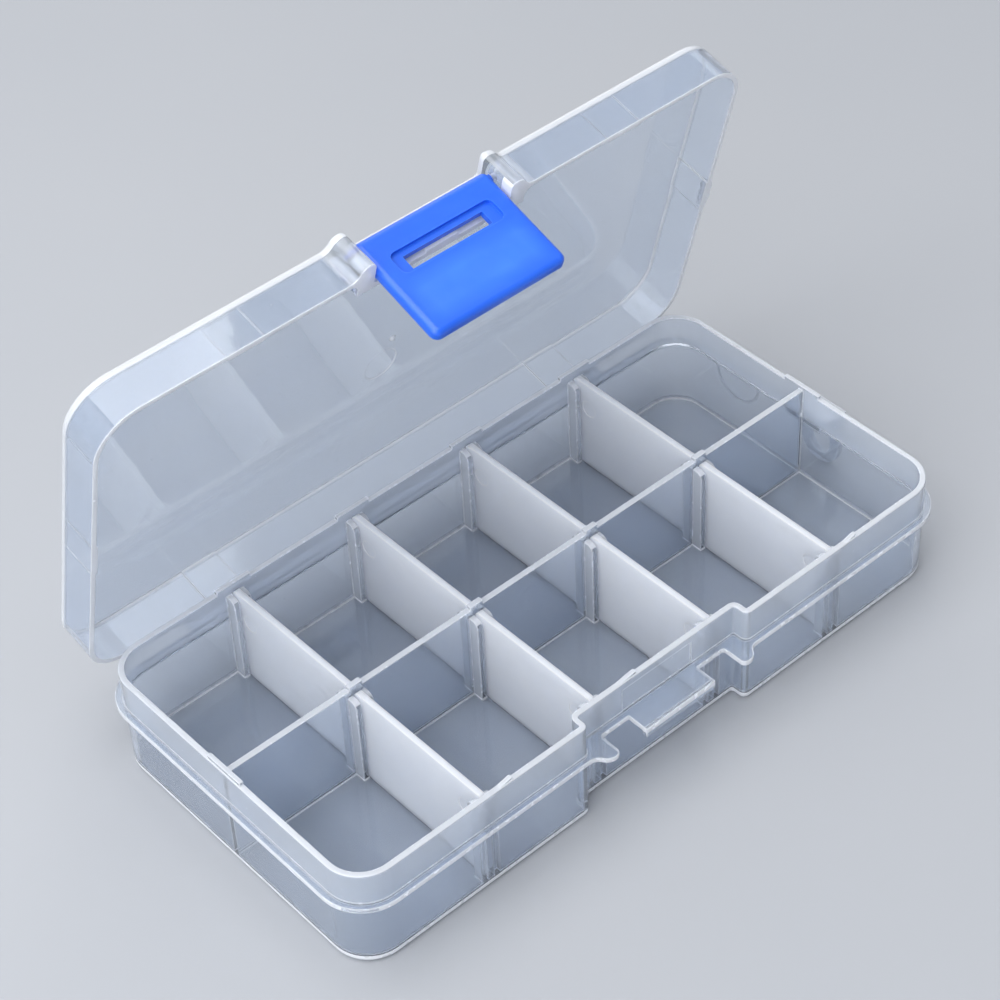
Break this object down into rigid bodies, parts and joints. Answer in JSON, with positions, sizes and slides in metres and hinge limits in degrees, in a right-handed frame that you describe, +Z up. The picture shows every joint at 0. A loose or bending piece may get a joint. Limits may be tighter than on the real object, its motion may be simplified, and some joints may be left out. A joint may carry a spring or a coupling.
{
  "type": "compartment storage box",
  "caption": "Clear hinged-lid storage box with lift-out dividers, a swinging snap latch and a hanging loop, for sorting small craft parts.",
  "frame": {"origin": "middle of the tray's flat foot, under the box", "axes": "+X along the box towards the hanging loop, +Y to the back where the lid is hinged, +Z up"},
  "size_m": [0.135, 0.0767, 0.0833],
  "materials": {
    "clear_plastic": "clear moulded polypropylene with a slight haze",
    "clear_lid_plastic": "clear glossy moulded polypropylene",
    "milky_plastic": "frosted polypropylene, thin enough to let light through",
    "blue_plastic": "satin moulded plastic"
  },
  "bodies": {
    "tray": {"tray": "clear_plastic"},
    "lid": {"lid": "clear_lid_plastic"},
    "latch": {"latch": "blue_plastic"},
    "back_divider_1": {"back_divider_1": "milky_plastic"},
    "back_divider_2": {"back_divider_2": "milky_plastic"},
    "back_divider_3": {"back_divider_3": "milky_plastic"},
    "back_divider_4": {"back_divider_4": "milky_plastic"},
    "front_divider_1": {"front_divider_1": "milky_plastic"},
    "front_divider_2": {"front_divider_2": "milky_plastic"},
    "front_divider_3": {"front_divider_3": "milky_plastic"},
    "front_divider_4": {"front_divider_4": "milky_plastic"}
  },
  "joints": [
    {"name": "lid_hinge", "type": "hinge", "parent": "tray", "child": "lid", "pos_m": [0, 0.03448, 0.01427], "axis": [-1, 0, 0], "range_deg": [-75, 105]},
    {"name": "latch_pivot", "type": "hinge", "parent": "lid", "child": "latch", "pos_m": [0, 0.0219, 0.07968], "axis": [-1, 0, 0], "range_deg": [0, 110]},
    {"name": "back_divider_1_lift", "type": "slide", "parent": "tray", "child": "back_divider_1", "axis": [0, 0, 1], "range_m": [0, 0.021]},
    {"name": "back_divider_2_lift", "type": "slide", "parent": "tray", "child": "back_divider_2", "axis": [0, 0, 1], "range_m": [0, 0.021]},
    {"name": "back_divider_3_lift", "type": "slide", "parent": "tray", "child": "back_divider_3", "axis": [0, 0, 1], "range_m": [0, 0.021]},
    {"name": "back_divider_4_lift", "type": "slide", "parent": "tray", "child": "back_divider_4", "axis": [0, 0, 1], "range_m": [0, 0.021]},
    {"name": "front_divider_1_lift", "type": "slide", "parent": "tray", "child": "front_divider_1", "axis": [0, 0, 1], "range_m": [0, 0.021]},
    {"name": "front_divider_2_lift", "type": "slide", "parent": "tray", "child": "front_divider_2", "axis": [0, 0, 1], "range_m": [0, 0.021]},
    {"name": "front_divider_3_lift", "type": "slide", "parent": "tray", "child": "front_divider_3", "axis": [0, 0, 1], "range_m": [0, 0.021]},
    {"name": "front_divider_4_lift", "type": "slide", "parent": "tray", "child": "front_divider_4", "axis": [0, 0, 1], "range_m": [0, 0.021]}
  ]
}
